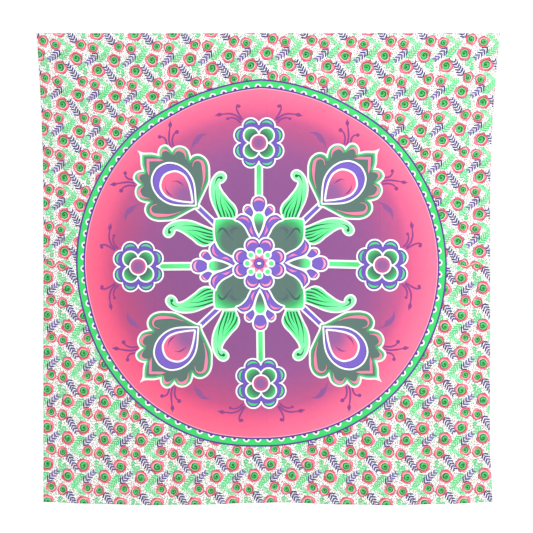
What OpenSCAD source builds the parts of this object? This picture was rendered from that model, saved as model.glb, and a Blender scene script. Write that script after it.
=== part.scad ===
// Printed cotton tapestry wall hanging, in millimetres.
// The wall is the plane y = 0 and the printed face looks towards -Y, with +Z up.
// The origin lies on the back of the top hem, on the centre line, where a pin or a tape strip holds it.

/* [Cloth] */
// Width of the cloth along its top edge
cloth_w = 2134; // [1400:1:2400]
// Height of the cloth from the top edge to the lower corners
cloth_h = 2160; // [1400:1:2400]
// Thickness of one layer of cotton
layer = 0.32; // [0.25:0.01:0.5]

/* [Hems] */
// Width of the double turned hem on all four edges
hem_w = 12; // [12:0.5:25]
// Air between the turned layers
layer_gap = 0.045; // [0.03:0.005:0.08]
// Distance of the seam from the edge
seam_in = 10.3; // [10.3:0.1:10.6]

/* [Thread] */
// Width of a sewing thread as it lies flattened on the cloth
thread_w = 0.6; // [0.4:0.05:0.8]
// Thickness of the flattened thread
thread_t = 0.2; // [0.15:0.01:0.24]

/* [Hang] */
// How far the left edge is drawn in below the pinned top corner
draw_left = 31; // [0:1:60]
// How far the right edge is drawn in below the pinned top corner
draw_right = 46; // [0:1:60]
// How far the lower right corner spreads out again
flare_right = 12; // [0:1:30]
// Position of the middle pin along the top edge, from the centre line
pin_x = 46; // [-200:1:200]
// How far the cloth drops between the left and the middle pin
sag_left = 9; // [0:1:40]
// How far the cloth drops between the middle and the right pin
sag_right = 10; // [0:1:40]
// How far the cloth stands off the wall left of the middle pin
billow_left = 24; // [0:1:40]
// How far the cloth stands off the wall right of the middle pin
billow_right = 19; // [0:1:40]
// Depth of the small upright folds
flute_depth = 9; // [0:1:20]
// Spacing of the small upright folds
flute_pitch = 296; // [200:1:500]

/* [Hidden] */

half_w = cloth_w / 2;
top_z = 5;                          // height of the top edge above the pins
fold_gap = 0.6;                     // slack cloth between the top hem and the panel, which bends there
panel_top = hem_w + fold_gap;       // where the hanging panel starts, down from the top edge
draw_h = cloth_h * 0.37;            // height over which the sides draw in
fold_h = cloth_h * 0.32;            // height over which the folds open
flare_h = cloth_h * 0.13;           // height over which the lower right corner spreads out
sag_h = 240;                        // height over which the drop between pins reaches its full size
panel_cols = 48;                    // facets across the panel, between its side hems
panel_rows = 18;                    // facets down the panel, above its bottom hem

// Depths of the three layers at a hem, from the printed face to the wall
front_y = -3 * layer - 2 * layer_gap;
front_back_y = front_y + layer;
middle_y = front_back_y + layer_gap;
middle_back_y = middle_y + layer;
back_y = -layer;

// Colours of the cotton and its threads
print_colour = [0.62, 0.33, 0.55];
hem_colour = [0.72, 0.86, 0.74];
thread_colour = [0.95, 0.95, 0.93];

// Runs smoothly from 0 to 1 as t does
function ease(t) = let (c = min(max(t, 0), 1)) c * c * (3 - 2 * c);

// Runs from 0 to 1 as t does, quickly at first
function settle(t) = let (c = min(max(t, 0), 1)) c * (2 - c);

// Position of a point between two neighbouring pins, as an angle from 0 to 180
function pin_angle(u) =
  u < pin_x
    ? 180 * (u + half_w) / (pin_x + half_w)
    : 180 * (u - pin_x) / (half_w - pin_x);

// Drop of the cloth between the pins
function sag(u, v) = (u < pin_x ? sag_left : sag_right) * sin(pin_angle(u)) * ease(v / sag_h);

// Distance that the hanging cloth stands off the wall
function stand_off(u, v) =
  ease(v / fold_h) * (
    (u < pin_x ? billow_left : billow_right) * pow(sin(pin_angle(u)), 2)
    + flute_depth / 2 * (1 + cos(360 * u / flute_pitch + 50 * sin(180 * v / cloth_h)))
  );

// Sideways pull of the cloth below the pinned corners
function draw(u, v) =
  (u < 0 ? draw_left : -draw_right) * abs(u) / half_w * settle((v - panel_top) / draw_h)
  + flare_right * ease(u / half_w) * ease((v - cloth_h + flare_h) / flare_h);

// A point of the hanging cloth: u across and v down on the flat cloth, y through its thickness
function hung(u, v, y) = [
  u + draw(u, v),
  y - stand_off(u, v),
  top_z - v - sag(u, v)
];

// Stations across the cloth, which starts and ends short of each side edge by inset
function across(inset) = let (inner = half_w - hem_w) concat(
  [-half_w + inset],
  [for (i = [0 : panel_cols]) inner * (2 * i / panel_cols - 1)],
  [half_w - inset]
);

// Stations down the cloth, from the top of the panel to the bottom hem
function down() = [
  for (j = [0 : panel_rows]) panel_top + (cloth_h - hem_w - panel_top) * j / panel_rows
];

// A tube with a closed outline at each of n stations, as one closed solid
module swept(stations) {
  n = len(stations);
  m = len(stations[0]);
  points = [for (s = stations) each s];
  sides = [
    for (i = [0 : n - 2], j = [0 : m - 1])
      let (a = i * m + j, b = i * m + (j + 1) % m)
      each [[a, b, b + m], [a, b + m, a + m]]
  ];
  ends = [[for (j = [m - 1 : -1 : 0]) j], [for (j = [0 : m - 1]) (n - 1) * m + j]];
  polyhedron(points = points, faces = concat(sides, ends), convexity = 6);
}

// A sheet between the depths y0 and y1, over a grid of stations on the flat cloth
module hung_sheet(us, vs, y0, y1) {
  cols = len(us) - 1;
  rows = len(vs) - 1;
  per_side = (cols + 1) * (rows + 1);
  function at(i, j, side) = side * per_side + j * (cols + 1) + i;
  points = [for (y = [y0, y1], v = vs, u = us) hung(u, v, y)];
  front = [
    for (j = [0 : rows - 1], i = [0 : cols - 1])
      each [[at(i, j, 0), at(i + 1, j, 0), at(i + 1, j + 1, 0)],
            [at(i, j, 0), at(i + 1, j + 1, 0), at(i, j + 1, 0)]]
  ];
  back = [
    for (j = [0 : rows - 1], i = [0 : cols - 1])
      each [[at(i, j, 1), at(i + 1, j + 1, 1), at(i + 1, j, 1)],
            [at(i, j, 1), at(i, j + 1, 1), at(i + 1, j + 1, 1)]]
  ];
  top_and_bottom = [
    for (i = [0 : cols - 1], j = [0, rows])
      let (a = at(i, j, 0), b = at(i + 1, j, 0), c = at(i + 1, j, 1), d = at(i, j, 1))
      each (j == 0 ? [[a, d, c], [a, c, b]] : [[a, b, c], [a, c, d]])
  ];
  left_and_right = [
    for (j = [0 : rows - 1], i = [0, cols])
      let (a = at(i, j, 0), b = at(i, j + 1, 0), c = at(i, j + 1, 1), d = at(i, j, 1))
      each (i == 0 ? [[a, b, c], [a, c, d]] : [[a, d, c], [a, c, b]])
  ];
  polyhedron(
    points = points,
    faces = concat(front, back, top_and_bottom, left_and_right),
    convexity = 8
  );
}

// Outline of a turned hem behind the cloth, as [distance from the edge, y].
// The back layer has a shallow channel, into which the seam pulls the lower thread.
function turned_hem() = let (a = seam_in - thread_w / 2, b = seam_in + thread_w / 2) [
  [0, front_back_y], [0, 0], [a, 0], [a, -thread_t], [b, -thread_t], [b, 0],
  [hem_w, 0], [hem_w, middle_y], [layer + layer_gap, middle_y],
  [layer + layer_gap, middle_back_y], [hem_w - layer, middle_back_y],
  [hem_w - layer, back_y], [layer, back_y], [layer, front_back_y]
];

// Outline of the top hem, which also holds the printed layer in front
function top_hem_outline() = concat(
  [[hem_w, front_back_y], [hem_w, front_y], [0, front_y]],
  [for (k = [1 : len(turned_hem()) - 1]) turned_hem()[k]]
);

// Outline of the thread on the printed face and of the thread in the channel behind
function needle_outline() = thread_outline(front_y - thread_t, front_y);
function bobbin_outline() = thread_outline(-thread_t, 0);
function thread_outline(y0, y1) = let (a = seam_in - thread_w / 2, b = seam_in + thread_w / 2)
  [[a, y0], [a, y1], [b, y1], [b, y0]];

// Sweeps an outline down a side edge, side being -1 on the left and 1 on the right
module down_side(outline, side) {
  ring = side < 0 ? reversed(outline) : outline;
  swept([for (v = down()) [for (p = ring) hung(side * (half_w - p[0]), v, p[1])]]);
}

// Sweeps an outline along the bottom edge, short of each side by inset
module along_bottom(outline, inset) {
  swept([for (u = across(inset)) [for (p = outline) hung(u, cloth_h - p[0], p[1])]]);
}

// Extrudes an outline along the straight top edge, short of each side by inset
module along_top(outline, inset) {
  translate([-half_w + inset, 0, 0])
    rotate([90, 0, 90])
      linear_extrude(cloth_w - 2 * inset)
        polygon([for (p = outline) [p[1], top_z - p[0]]]);
}

function reversed(list) = [for (i = [len(list) - 1 : -1 : 0]) list[i]];

module printed_panel() {
  color(print_colour) hung_sheet(across(0), concat(down(), [cloth_h]), front_y, front_back_y);
}

module top_hem() {
  color(hem_colour) along_top(top_hem_outline(), 0);
}

module side_hem(side) {
  color(hem_colour) down_side(turned_hem(), side);
}

module bottom_hem() {
  color(hem_colour) along_bottom(turned_hem(), 0);
}

module top_thread(outline) {
  color(thread_colour) along_top(outline, 1);
}

module side_thread(outline, side) {
  color(thread_colour) down_side(outline, side);
}

module bottom_thread(outline) {
  color(thread_colour) along_bottom(outline, 1);
}

top_hem();
top_thread(needle_outline());  // top_needle_thread
top_thread(bobbin_outline());  // top_bobbin_thread
printed_panel();
side_hem(-1);  // left_hem
side_hem(1);  // right_hem
bottom_hem();
side_thread(needle_outline(), -1);  // left_needle_thread
side_thread(needle_outline(), 1);  // right_needle_thread
bottom_thread(needle_outline());  // bottom_needle_thread
side_thread(bobbin_outline(), -1);  // left_bobbin_thread
side_thread(bobbin_outline(), 1);  // right_bobbin_thread
bottom_thread(bobbin_outline());  // bottom_bobbin_thread
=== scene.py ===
import math

import bmesh
import bpy
import numpy as np
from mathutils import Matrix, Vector
from mathutils.geometry import delaunay_2d_cdt


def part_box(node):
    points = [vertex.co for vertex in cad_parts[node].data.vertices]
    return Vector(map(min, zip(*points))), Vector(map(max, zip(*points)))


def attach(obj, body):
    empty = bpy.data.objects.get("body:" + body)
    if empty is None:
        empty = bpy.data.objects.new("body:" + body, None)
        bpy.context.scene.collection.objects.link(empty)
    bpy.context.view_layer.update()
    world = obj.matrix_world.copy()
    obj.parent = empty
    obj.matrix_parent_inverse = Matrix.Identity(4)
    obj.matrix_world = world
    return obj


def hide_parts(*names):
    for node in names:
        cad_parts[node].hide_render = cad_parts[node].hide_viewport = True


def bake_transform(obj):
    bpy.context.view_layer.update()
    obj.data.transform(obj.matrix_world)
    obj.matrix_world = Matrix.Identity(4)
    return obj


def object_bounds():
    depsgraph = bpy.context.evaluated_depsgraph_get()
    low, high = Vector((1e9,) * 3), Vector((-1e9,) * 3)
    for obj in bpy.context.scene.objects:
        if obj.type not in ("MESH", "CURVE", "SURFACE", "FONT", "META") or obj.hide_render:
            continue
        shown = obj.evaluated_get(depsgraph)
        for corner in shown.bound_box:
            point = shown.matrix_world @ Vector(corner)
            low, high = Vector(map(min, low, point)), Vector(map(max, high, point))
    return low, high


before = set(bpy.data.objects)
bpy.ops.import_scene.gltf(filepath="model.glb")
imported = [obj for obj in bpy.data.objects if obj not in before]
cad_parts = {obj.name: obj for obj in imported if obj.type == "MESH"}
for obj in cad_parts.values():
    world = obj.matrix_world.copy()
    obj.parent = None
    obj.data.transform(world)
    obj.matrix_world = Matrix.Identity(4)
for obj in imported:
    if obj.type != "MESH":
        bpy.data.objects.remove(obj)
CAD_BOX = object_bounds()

# ---------------- the cloth as it hangs, in metres

MM = 0.001
CM = 0.01

top_low, top_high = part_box("top_hem")
_, panel_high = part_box("printed_panel")
HALF_W = top_high.x
TOP_Z = top_high.z
HEM_W = top_high.z - top_low.z
PANEL_TOP = TOP_Z - panel_high.z
LAYER = 0.32 * MM
FRONT_Y = top_low.y
CLOTH_H = 2160 * MM
CLOTH_W = 2 * HALF_W

# How the cloth hangs, in the same measures as the CAD part
DRAW_LEFT = 31 * MM
DRAW_RIGHT = 46 * MM
FLARE_RIGHT = 12 * MM
PIN_X = 46 * MM
SAG_LEFT = 9 * MM
SAG_RIGHT = 10 * MM
BILLOW_LEFT = 24 * MM
BILLOW_RIGHT = 19 * MM
FLUTE_DEPTH = 9 * MM
FLUTE_PITCH = 296 * MM
DRAW_H = 0.37 * CLOTH_H
FOLD_H = 0.32 * CLOTH_H
FLARE_H = 0.13 * CLOTH_H
SAG_H = 240 * MM


def ease(t):
    """Runs smoothly from 0 to 1 as t does."""
    c = np.clip(t, 0, 1)
    return c * c * (3 - 2 * c)


def settle(t):
    """Runs from 0 to 1 as t does, quickly at first."""
    c = np.clip(t, 0, 1)
    return c * (2 - c)


def pin_angle(u):
    """Position of a point between two neighbouring pins, from 0 to pi."""
    left = (u + HALF_W) / (PIN_X + HALF_W)
    right = (u - PIN_X) / (HALF_W - PIN_X)
    return np.pi * np.where(u < PIN_X, left, right)


def sag(u, v):
    """Drop of the cloth between the pins."""
    depth = np.where(u < PIN_X, SAG_LEFT, SAG_RIGHT)
    return depth * np.sin(pin_angle(u)) * ease(v / SAG_H)


def stand_off(u, v):
    """Distance that the hanging cloth stands off the wall."""
    billow = np.where(u < PIN_X, BILLOW_LEFT, BILLOW_RIGHT) * np.sin(pin_angle(u)) ** 2
    phase = math.radians(50) * np.sin(np.pi * v / CLOTH_H)
    flute = FLUTE_DEPTH / 2 * (1 + np.cos(2 * np.pi * u / FLUTE_PITCH + phase))
    return ease(v / FOLD_H) * (billow + flute)


def draw(u, v):
    """Sideways pull of the cloth below the pinned corners."""
    pull = np.where(u < 0, DRAW_LEFT, -DRAW_RIGHT) * np.abs(u) / HALF_W * settle((v - PANEL_TOP) / DRAW_H)
    return pull + FLARE_RIGHT * ease(u / HALF_W) * ease((v - CLOTH_H + FLARE_H) / FLARE_H)


CREASE_DEPTH = 1.6 * MM
CREASE_REACH = 16 * MM
CREASE_COLUMNS = [-HALF_W / 2, 0, HALF_W / 2]
# How far down each level crease lies, and how deep it is beside the upright ones
CREASE_ROWS = [(CLOTH_H / 4, 0.5), (CLOTH_H / 2, 1.3), (CLOTH_H * 3 / 4, 0.6)]
SHORTEST_RIPPLE = 0.07
LONGEST_RIPPLE = 0.36
RIPPLE_COUNT = 34
# A ripple's depth grows with its length.
RIPPLE_DEPTH = 0.42 * MM
RIPPLE_GAIN = 18
# Slanting folds, which fade out from the middle of their patch
SLANT_DEPTH = 3.2 * MM
SLANT_PITCH = 0.21
SLANT_U, SLANT_V = 0.8, 0.6
PATCH_U, PATCH_V = -0.42, 0.98
PATCH_W, PATCH_H = 0.26, 0.34
RELIEF_BASE = 1.5 * MM
TOP_FADE = 0.12
EDGE_FADE = 0.05
EDGE_SHARE = 0.25
ripple_rng = np.random.default_rng(7)
ripple_waves = [
    (
        2 * np.pi / ripple_rng.uniform(SHORTEST_RIPPLE, LONGEST_RIPPLE),
        ripple_rng.uniform(0, np.pi),
        ripple_rng.uniform(0, 2 * np.pi),
    )
    for _ in range(RIPPLE_COUNT)
]


def wrinkles(u, v):
    """Small relief on the hanging cloth: packing creases, ripples and a patch of slanting folds."""
    relief = np.zeros_like(u)
    for column in CREASE_COLUMNS:
        relief += CREASE_DEPTH * np.exp(-np.abs(u - column) / CREASE_REACH)
    for row, share in CREASE_ROWS:
        relief += share * CREASE_DEPTH * np.exp(-np.abs(v - row) / CREASE_REACH)
    for pitch, angle, phase in ripple_waves:
        along = u * math.cos(angle) + v * math.sin(angle)
        relief += RIPPLE_DEPTH * np.sin(pitch * along + phase) * LONGEST_RIPPLE / pitch * RIPPLE_GAIN
    slant = 0.5 + 0.5 * np.sin(2 * np.pi * (SLANT_U * u + SLANT_V * v) / SLANT_PITCH)
    patch = np.exp(-(((u - PATCH_U) / PATCH_W) ** 2) - ((v - PATCH_V) / PATCH_H) ** 2)
    relief += SLANT_DEPTH * slant * patch
    from_side = ease((HALF_W - np.abs(u)) / EDGE_FADE + EDGE_SHARE)
    from_bottom = ease((CLOTH_H - v) / EDGE_FADE + EDGE_SHARE)
    return np.maximum(relief + RELIEF_BASE, 0) * (ease(v / TOP_FADE) * from_side * from_bottom)


def hang(u, v, y):
    """Places flat cloth points, u across and v down, y through the thickness, as an array of rows."""
    u, v = np.asarray(u, float), np.asarray(v, float)
    return np.stack(
        [u + draw(u, v), y - stand_off(u, v) - wrinkles(u, v), TOP_Z - v - sag(u, v)], axis=-1
    )


UNHANG_PASSES = 16


def unhang(x, z):
    """The flat cloth point that hangs at x and z, seen from the front, by repeated correction."""
    u, v = np.array(x, float), TOP_Z - np.array(z, float)
    for _ in range(UNHANG_PASSES):
        u, v = x - draw(u, v), TOP_Z - z - sag(u, v)
    return u, v


# ---------------- colours of the print


REFLECTED = 0.85


def ink(red, green, blue):
    """Linear colour of an ink given in display values from 0 to 255, as the cloth reflects it."""
    display = np.array([red, green, blue]) / 255
    linear = np.where(display <= 0.04045, display / 12.92, ((display + 0.055) / 1.055) ** 2.4)
    return linear * REFLECTED


WHITE = ink(252, 253, 251)
MINT = ink(98, 246, 148)
MINT_MID = ink(84, 220, 128)
LEAF_DARK = ink(68, 154, 100)
MINT_DEEP = ink(70, 178, 108)
MINT_LIGHT = ink(140, 250, 176)
SLATE = ink(92, 120, 113)
SLATE_DARK = ink(72, 92, 102)
VEIN = ink(36, 106, 76)
VIOLET = ink(124, 99, 200)
VIOLET_MID = ink(114, 88, 186)
VIOLET_DARK = ink(92, 72, 158)
PLUM = ink(150, 96, 156)
PLUM_DARK = ink(142, 66, 138)
PINK = ink(255, 134, 172)
PINK_DEEP = ink(250, 98, 140)
ORB_PINK = ink(244, 108, 150)
PINK_PALE = ink(255, 176, 204)
LINE = ink(92, 62, 146)
BAND = ink(64, 216, 112)


def mix(a, b, t):
    """Colours between a and b for an array of shares t."""
    t = np.clip(np.asarray(t, float), 0, 1)[:, None]
    return a * (1 - t) + b * t


def three(a, b, c, t):
    """Colours from a over b to c for an array of shares t."""
    return np.where((t < 0.5)[:, None], mix(a, b, ease(2 * t)), mix(b, c, 2 * t - 1))


def distance(p, centre):
    """How far each point lies from a centre."""
    return np.hypot(p[:, 0] - centre[0], p[:, 1] - centre[1])


def fade(a, b, centre, start, end):
    """Paint that runs from a to b with the distance from a centre."""
    return lambda p: mix(a, b, ease((distance(p, centre) - start) / (end - start)))


def slope(a, b, start, end):
    """Paint that runs from a to b along the arm of a motif."""
    return lambda p: mix(a, b, ease((p[:, 1] - start) / (end - start)))


# ---------------- outlines of the print, in centimetres


def smooth(*points, steps=4, round_start=False, round_end=False):
    """An open curve through the points. A rounded end meets the arm's axis squarely."""
    p = [np.array(q, float) for q in points]
    before = p[1] * (-1, 1) if round_start else 2 * p[0] - p[1]
    after = p[-2] * (-1, 1) if round_end else 2 * p[-1] - p[-2]
    p = [before, *p, after]
    curve = []
    for a, b, c, d in zip(p, p[1:], p[2:], p[3:]):
        for t in np.arange(steps) / steps:
            square, cube = 2 * a - 5 * b + 4 * c - d, 3 * b - a - 3 * c + d
            curve.append(0.5 * (2 * b + (c - a) * t + square * t**2 + cube * t**3))
    return np.array([*curve, p[-2]])


def joined(*runs):
    """A closed outline from runs that meet end to end."""
    return np.concatenate([run[:-1] for run in runs])


def both_sides(half):
    """A closed outline from its right half, which starts and ends on the arm's axis."""
    return np.concatenate([half, (half * (-1, 1))[-2:0:-1]])


def polar(radius, turn):
    """Points at a radius, turned left from the right."""
    return np.stack([radius * np.cos(turn), radius * np.sin(turn)], axis=1)


def disc(centre, radius, count=28):
    """A circle."""
    return np.array(centre) + polar(radius, 2 * np.pi * np.arange(count) / count)


def stroke(path, widest, ends=(0.15, 0.15), peak=0.5):
    """A brush stroke along a path, widest at peak and narrowed to shares of that at its ends."""
    steps = np.diff(path, axis=0)
    along = np.concatenate([[0], np.cumsum(np.hypot(*steps.T))])
    along /= along[-1]
    tangent = np.gradient(path, axis=0)
    tangent /= np.hypot(*tangent.T)[:, None]
    side = np.stack([-tangent[:, 1], tangent[:, 0]], axis=1)
    first = ends[0] + (1 - ends[0]) * ease(along / peak)
    last = ends[1] + (1 - ends[1]) * ease((1 - along) / (1 - peak))
    half = (widest / 2 * np.where(along < peak, first, last))[:, None]
    return np.concatenate([path + side * half, (path - side * half)[::-1]])


def crescent(centre, radius, facing, spread, thickness, count=9):
    """A crescent along an arc that faces a direction, in degrees."""
    turn = np.radians(np.linspace(facing - spread, facing + spread, count))
    ring = polar(1, turn)
    depth = thickness * np.cos(np.linspace(-1, 1, count) * np.pi / 2)[:, None] ** 0.8
    return np.array(centre) + np.concatenate([ring * radius, (ring * (radius - depth))[-2:0:-1]])


def counter_clockwise(outline):
    """The outline in the order that has its inside on the left."""
    x, y = outline.T
    area = np.sum(x * np.roll(y, -1) - np.roll(x, -1) * y)
    return outline if area > 0 else outline[::-1]


# A corner that turns by more than this is rounded, with a point at each step, both in radians.
SHARP_TURN = 0.4
CORNER_STEP = 0.5


def grown(outline, by):
    """The outline moved outwards, with round corners."""
    p = counter_clockwise(outline)
    grown_points = []
    for before, here, after in zip(np.roll(p, 1, 0), p, np.roll(p, -1, 0)):
        first, second = here - before, after - here
        first, second = first / np.hypot(*first), second / np.hypot(*second)
        n1, n2 = np.array([first[1], -first[0]]), np.array([second[1], -second[0]])
        turn = math.atan2(first[0] * second[1] - first[1] * second[0], first @ second)
        if turn * by > SHARP_TURN * abs(by):
            for share in np.linspace(0, 1, 2 + int(abs(turn) / CORNER_STEP)):
                angle = math.atan2(n1[1], n1[0]) + turn * share
                grown_points.append(here + by * np.array([math.cos(angle), math.sin(angle)]))
        elif turn * by < -SHARP_TURN * abs(by):
            grown_points += [here + n1 * by, here, here + n2 * by]
        else:
            middle = (n1 + n2) / np.hypot(*(n1 + n2))
            grown_points.append(here + middle * by / math.cos(turn / 2))
    return np.array(grown_points)


def winding(outline, points):
    """How many times a closed outline goes round each point."""
    x, y = points.T
    turns = np.zeros(len(points), int)
    for (x0, y0), (x1, y1) in zip(outline, np.roll(outline, -1, 0)):
        side = (x1 - x0) * (y - y0) - (x - x0) * (y1 - y0)
        turns += ((y0 <= y) & (y1 > y) & (side > 0)).astype(int)
        turns -= ((y0 > y) & (y1 <= y) & (side < 0)).astype(int)
    return turns


# Each motif is a list of (outline, paint), bottom layer first, around an arm that points up.
OUTLINE_W = 0.82
TENDRIL_W = 0.85


def outlined(outline, paint, width=OUTLINE_W):
    """A shape with a white line round it."""
    return [(grown(outline, width), WHITE), (outline, paint)]


def graded(outline, paint, centre, shares=(0.82, 0.64, 0.46, 0.25)):
    """A painted shape with nested copies, which let its colours run smoothly."""
    middle = np.array(centre, float)
    return [(outline, paint)] + [(middle + (outline - middle) * share, paint) for share in shares]


def rimmed(outline, paint, rim, width=0.35):
    """A white-lined shape that is darker along its edge."""
    return [(grown(outline, OUTLINE_W), WHITE), (outline, rim), (grown(outline, -width), paint)]


def discs(centres, radius, paint, count=28):
    """A disc of the same size round each centre."""
    return [(disc(centre, radius, count), paint) for centre in centres]


def crescents(centre, facing, *arcs):
    """Crescents on top of one another: each is (radius, spread, thickness, paint)."""
    return [(crescent(centre, radius, facing, spread, deep), paint) for radius, spread, deep, paint in arcs]


def petal_paint(middle):
    """Paint of a petal that is dark at its foot, where it meets the flower's middle."""
    return lambda p: three(SLATE_DARK, LEAF_DARK, MINT_MID, (distance(p, middle) - 4.1) / 4.4)


def axis_flower(height):
    """The four-petalled flower at the end of an axis arm."""
    c = np.array([0, height])
    offsets = [(x * a, y * b) for a, b in ((3.7, 7.6), (7.6, 3.6)) for x in (-1, 1) for y in (-1, 1)]
    lobes = [c + offset for offset in offsets]
    shapes = discs(lobes, 4.25, WHITE) + discs([c], 9.2, WHITE, 36)
    shapes += discs(lobes, 3.5, VIOLET_DARK) + discs([c], 8.3, VIOLET_MID, 36)
    shapes += discs(lobes, 3.2, VIOLET_MID)
    for lobe, (x, y) in zip(lobes, offsets):
        facing = math.degrees(math.atan2(y, x))
        facing += 14 * (1 if abs(x) < abs(y) else -1) * (1 if x * y > 0 else -1)
        shapes += crescents(lobe, facing, (2.95, 80, 1.35, VIOLET_DARK), (2.75, 68, 1, MINT_MID))
    petals = [c + (x, y) for x in (-3.5, 3.5) for y in (-3.5, 3.5)]
    shapes += discs(petals, 3.95, WHITE)
    for petal in petals:
        shapes += graded(disc(petal, 3.2), petal_paint(c), petal, (0.7, 0.4))
    shapes += discs([c], 4.25, WHITE)
    shapes += graded(disc(c, 3.5), fade(PLUM, PINK_DEEP, c, 1.6, 5), c, (0.8, 0.6, 0.35))
    return shapes


def tendrils(strokes):
    """Curved strokes that end in a drop: each is (points, drop radius)."""
    shapes = []
    for points, drop in strokes:
        path = smooth(*points)
        shapes.append((stroke(path, TENDRIL_W, ends=(1, 0.8), peak=0.4), PLUM_DARK))
        shapes.append((disc(points[-1], drop, 14), PLUM_DARK))
    return shapes


def bud(points):
    """A curved stroke that ends in a pointed bud."""
    path = smooth(*points)
    tip = smooth(*points[-3:])
    return [
        (stroke(path, TENDRIL_W, ends=(1, 0.5), peak=0.4), PLUM_DARK),
        (stroke(tip, 1.8, ends=(0.25, 0.05), peak=0.5), PLUM_DARK),
        (disc(points[-2], 0.88, 12), PLUM_DARK),
    ]


def pair(shapes):
    """The shapes and their mirror image across the arm."""
    return shapes + [(outline * (-1, 1), mirrored(paint)) for outline, paint in shapes]


def mirrored(paint):
    """A paint as it looks across the arm."""
    return (lambda p: paint(p * (-1, 1))) if callable(paint) else paint


def axis_arm():
    """Everything along one of the four axis arms."""
    stem = np.array([(-1.05, 31.5), (1.05, 31.5), (1.05, 46.5), (-1.05, 46.5)])
    shapes = outlined(stem, slope(MINT, MINT_MID, 33, 44), 0.9)
    spray = tendrils(
        [
            ([(7.6, 66.6), (9.4, 69.5), (10.3, 71.8), (10, 73.5), (9.2, 72.9)], 0.8),
            ([(8.3, 65.1), (10.3, 66.9), (12.7, 67.6), (14.4, 67.1)], 0.7),
        ]
    )
    spray += bud([(8.2, 66.4), (10.3, 68.4), (13.3, 69.4), (16.3, 69.2), (18.4, 68.9), (20.2, 68.4)])
    shapes += pair(spray)
    shapes += axis_flower(55.9)

    upper_edge = smooth(
        (0, 11.7), (1.5, 14.4), (2.7, 17.4), (3.4, 19.6), (4.8, 21.6), (6.8, 22.5), (8.7, 22.4),
        (10.9, 20.5),
    )
    lower_edge = smooth(
        (10.9, 20.5), (9.2, 19.9), (7.3, 18.5), (5.7, 16.5), (4.7, 14.4), (3.2, 12.2), (0, 9.6)
    )
    vee = both_sides(np.concatenate([upper_edge, lower_edge[1:]]))
    shapes += rimmed(vee, VIOLET, VIOLET_DARK, 0.35)
    upper_gleam = stroke(smooth((4.4, 19), (5.7, 20.7), (7.5, 21.3), (9.6, 20.9)), 1)
    lower_gleam = stroke(smooth((3.5, 17.5), (3.7, 15.6), (2.5, 13.2)), 0.95)
    shapes += pair([(upper_gleam, PINK), (lower_gleam, PINK)])

    egg = smooth(
        (3.4, 21.7), (5, 22.7), (6.6, 24), (6.5, 26), (5, 26.9), (3.6, 25.9), (2.6, 23.6), (3.4, 21.7)
    )
    drop = rimmed(egg[:-1], VIOLET, VIOLET_DARK, 0.3)
    drop += crescents((4.9, 24.8), 45, (1.7, 75, 0.9, PINK_DEEP), (1.45, 60, 0.55, PINK_PALE))
    shapes += pair(drop)

    crown = smooth(
        (0, 24), (1.5, 24.4), (2.5, 25.9), (3, 28.1), (2.2, 30.3), (0, 31.2),
        round_start=True, round_end=True,
    )
    shapes += rimmed(both_sides(crown), VIOLET, VIOLET_DARK, 0.3)
    shapes += crescents((0, 28), 90, (2.65, 88, 1.35, PINK_DEEP), (2.35, 74, 0.85, PINK_PALE))
    tear = smooth((0, 13.6), (1.2, 16.2), (2.1, 19.4), (2.2, 21.4), (1.5, 22.8), (0, 23.4), round_end=True)
    shapes += outlined(both_sides(tear), slope(SLATE, MINT, 17.5, 22.5))
    return shapes


DIAGONAL = math.radians(43.4)


def quadrant(*points):
    """Points given across and up from the medallion's centre, in the frame of the diagonal arm."""
    p = np.array(points, float)
    c, s = math.cos(math.pi / 2 - DIAGONAL), math.sin(math.pi / 2 - DIAGONAL)
    return np.stack([c * p[:, 0] - s * p[:, 1], s * p[:, 0] + c * p[:, 1]], axis=1)


def curled_leaf():
    """A mint leaf with dark veins that curls at its tip."""
    inner_edge = quadrant(
        (12, 19.6), (10.7, 22.8), (10.4, 24.8), (11.5, 27.2), (13.6, 29.3), (15.3, 31.4), (17.1, 33.7),
        (18.3, 36.2), (18.1, 37.8),
    )
    outer_edge = quadrant(
        (18.1, 37.8), (16.6, 38.3), (15.4, 39.8), (15.5, 41.3), (16.9, 42.3), (18.6, 41.9), (20.2, 40.3),
        (21.4, 37.9), (22, 34.9), (21.8, 31.6), (20.9, 28.4), (19.6, 25.6), (18.1, 22.6), (16.9, 19.6),
    )
    edge = joined(smooth(*inner_edge), smooth(*outer_edge), quadrant((16.9, 19.6), (12, 19.6)))
    shapes = outlined(edge, fade(MINT, MINT_LIGHT, quadrant((13, 24))[0], 4, 16))
    veins = [
        ((10.9, 22.4), (11.7, 25), (13.6, 27.7), (15.5, 29.9), (16.6, 31.3)),
        ((12.3, 20.3), (12.9, 23.5), (14.6, 26.8), (15.9, 28.5)),
        ((13.7, 20.3), (14.4, 23.2), (15.6, 25.8)),
        ((15, 20.3), (16.2, 24.4), (17.4, 28.4), (17.5, 31.8)),
        ((16.4, 20.3), (18.4, 25.1), (19.4, 28.9), (19.8, 32.5), (19.6, 34.6)),
    ]
    for vein in veins:
        shapes.append((stroke(smooth(*quadrant(*vein), steps=3), 0.78, ends=(0.9, 0.15), peak=0.2), VEIN))
    curl = quadrant((17.2, 40), (18.3, 40.2), (19.4, 38.9), (20.1, 36.4))
    shapes.append((stroke(smooth(*curl, steps=3), 0.7, ends=(0.9, 0.1), peak=0.2), VEIN))
    shapes.append((disc(quadrant((17.2, 40))[0], 0.75, 12), VEIN))
    return shapes


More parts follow.
